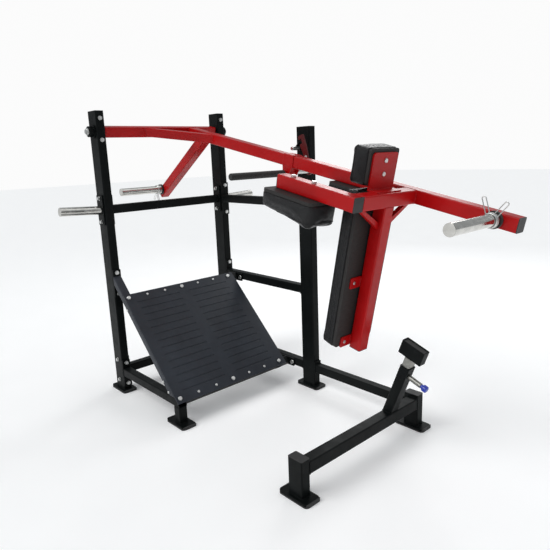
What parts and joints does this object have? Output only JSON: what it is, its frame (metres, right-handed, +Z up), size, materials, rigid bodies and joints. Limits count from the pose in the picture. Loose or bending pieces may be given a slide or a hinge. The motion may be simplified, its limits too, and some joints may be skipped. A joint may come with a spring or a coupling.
{
  "type": "lever squat machine",
  "caption": "Plate-loaded lever squat machine: a hinged arm with head, back and shoulder pads over an angled foot plate, on a tubular frame with a latch and an adjustable stop.",
  "frame": {"origin": "centre of the overall box at floor level", "axes": "+X along the machine from the pivot posts towards the adjustable stop, +Y across it towards the side with the middle post, +Z up"},
  "size_m": [2.5838, 1.382, 1.685],
  "materials": {
    "frame_black": "satin",
    "lever_red": "gloss",
    "deck_blue_black": "satin",
    "dark_red": "gloss",
    "chrome": "polished",
    "zinc": "satin",
    "bare_steel": "brushed",
    "rubber": "matt",
    "cap_plastic": "matt",
    "vinyl": "satin",
    "plywood": "painted",
    "blue_plastic": "gloss"
  },
  "bodies": {
    "frame": {"pivot_posts": "frame_black", "middle_post": "frame_black", "frame_caps": "cap_plastic", "rear_uprights": "frame_black", "cross_tubes": "frame_black", "base_rails": "frame_black", "front_leg": "frame_black", "side_tubes": "frame_black", "flange_plates": "frame_black", "gussets": "frame_black", "foot_plates": "frame_black", "foot_shoes": "rubber", "deck_plate": "deck_blue_black", "deck_side_tubes": "deck_blue_black", "deck_beams": "frame_black", "bearing_housings": "frame_black", "storage_horns": "chrome", "catch_peg": "zinc", "post_buffer": "rubber", "stop_socket": "frame_black", "pin_barrel": "bare_steel", "frame_bolts": "zinc", "frame_nuts": "zinc", "deck_bolt_set": "zinc", "deck_screw_set": "zinc"},
    "lever": {"lever_axle": "lever_red", "axle_stubs": "bare_steel", "pivot_bolts": "zinc", "lever_tube": "lever_red", "lever_strut": "lever_red", "lever_brace": "lever_red", "side_arm": "lever_red", "arm_bridge": "lever_red", "back_spine": "lever_red", "spine_braces": "lever_red", "lever_caps": "cap_plastic", "head_plate": "lever_red", "head_pad": "vinyl", "back_plates": "lever_red", "back_pad": "vinyl", "pad_boards": "plywood", "shoulder_pad_near": "vinyl", "shoulder_pad_far": "vinyl", "pad_screws": "zinc", "shoulder_bolts": "zinc", "weight_horns": "chrome", "bumper_discs": "rubber", "horn_collars": "chrome", "handle_bracket": "lever_red"},
    "catch": {"catch_rod": "zinc", "handle_grip": "rubber", "hook_arm": "dark_red", "hook_bolts": "zinc"},
    "collar_lever": {"spring_collar_lever": "zinc"},
    "collar_strut": {"spring_collar_strut": "zinc"},
    "stop": {"stop_post": "bare_steel", "saddle": "frame_black", "saddle_rubber": "rubber"},
    "pin": {"pull_pin": "bare_steel", "pin_knob": "blue_plastic"}
  },
  "joints": [
    {"name": "lever_swing", "type": "hinge", "parent": "frame", "child": "lever", "pos_m": [-0.86683, 0, 1.572], "axis": [0, 1, 0], "range_deg": [-3, 18]},
    {"name": "catch_turn", "type": "hinge", "parent": "lever", "child": "catch", "pos_m": [0.05292, 0.175, 1.31022], "axis": [0, -1, 0], "range_deg": [-40, 22]},
    {"name": "stop_height", "type": "slide", "parent": "frame", "child": "stop", "axis": [-0.3535, 0, -0.9354], "range_m": [-0.12, 0.03]},
    {"name": "pin_pull", "type": "slide", "parent": "frame", "child": "pin", "axis": [0.9354, 0, -0.3535], "range_m": [0, 0.01], "stiffness_N_per_m": 900, "springref_m": -0.004},
    {"name": "collar_lever_off", "type": "slide", "parent": "lever", "child": "collar_lever", "axis": [0, -1, 0], "range_m": [0, 0.33]},
    {"name": "collar_strut_off", "type": "slide", "parent": "lever", "child": "collar_strut", "axis": [0, -1, 0], "range_m": [0, 0.33]}
  ]
}
